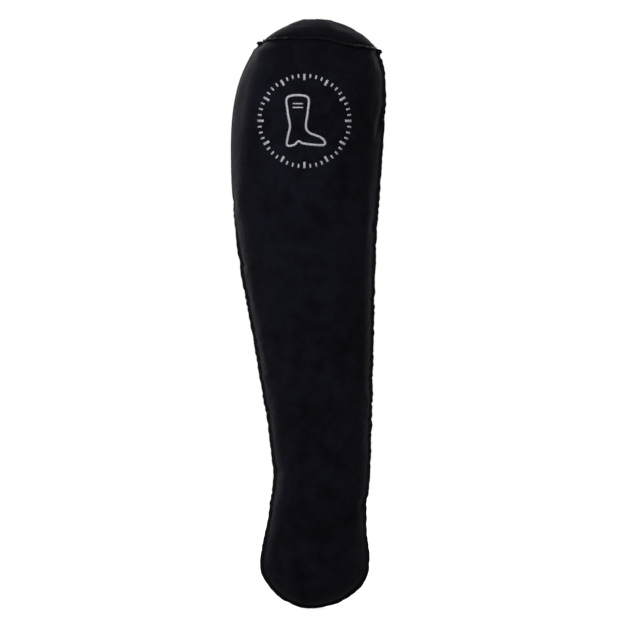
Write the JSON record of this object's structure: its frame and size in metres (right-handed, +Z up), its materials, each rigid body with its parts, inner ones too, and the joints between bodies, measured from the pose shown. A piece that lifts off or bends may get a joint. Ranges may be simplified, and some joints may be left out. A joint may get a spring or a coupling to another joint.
{
  "type": "inflatable boot shaper",
  "caption": "Inflatable leg-shaped boot shaper: flocked sheets welded at the edge, a domed top sheet, and a push-in valve with a tethered stopper and a check flap.",
  "frame": {"origin": "lowest point of the welded margin under the heel end, on the plane in which the two side sheets meet", "axes": "+Z up the leg towards the top of the boot, -Y out of the printed sheet, +X towards the shin, -X towards the calf"},
  "size_m": [0.1183, 0.092, 0.4495],
  "materials": {
    "flocked_pvc": "short velvety nylon flock on PVC film, with a faint sheen at grazing angles",
    "welded_margin": "flock pressed flat and fused by the weld, darker and smoother",
    "valve_pvc": "soft moulded PVC, satin",
    "silver_ink": "thin silver-grey screen print"
  },
  "bodies": {
    "chamber": {"front_sheet": "flocked_pvc", "rear_sheet": "flocked_pvc", "top_sheet": "flocked_pvc", "calf_side_weld": "welded_margin", "shin_side_weld": "welded_margin", "front_top_weld": "welded_margin", "rear_top_weld": "welded_margin", "valve_ring": "valve_pvc", "valve_bellows": "valve_pvc"},
    "stem": {"valve_stem": "valve_pvc", "stopper_strap": "valve_pvc"},
    "flap": {"check_flap": "valve_pvc"},
    "plug": {"stopper": "valve_pvc"}
  },
  "joints": [
    {"name": "stem_pop_up", "type": "slide", "parent": "chamber", "child": "stem", "axis": [0, 0, 1], "range_m": [0, 0.0105], "deforming": ["valve_bellows"]},
    {"name": "stopper_pull", "type": "slide", "parent": "stem", "child": "plug", "axis": [0, 0, 1], "range_m": [0, 0.0065], "deforming": ["stopper_strap"]},
    {"name": "flap_open", "type": "hinge", "parent": "stem", "child": "flap", "pos_m": [0.0106, 0, 0.43608], "axis": [0, -1, 0], "range_deg": [0, 60], "stiffness_Nm_per_rad": 0.0002, "springref_deg": -20.05}
  ]
}
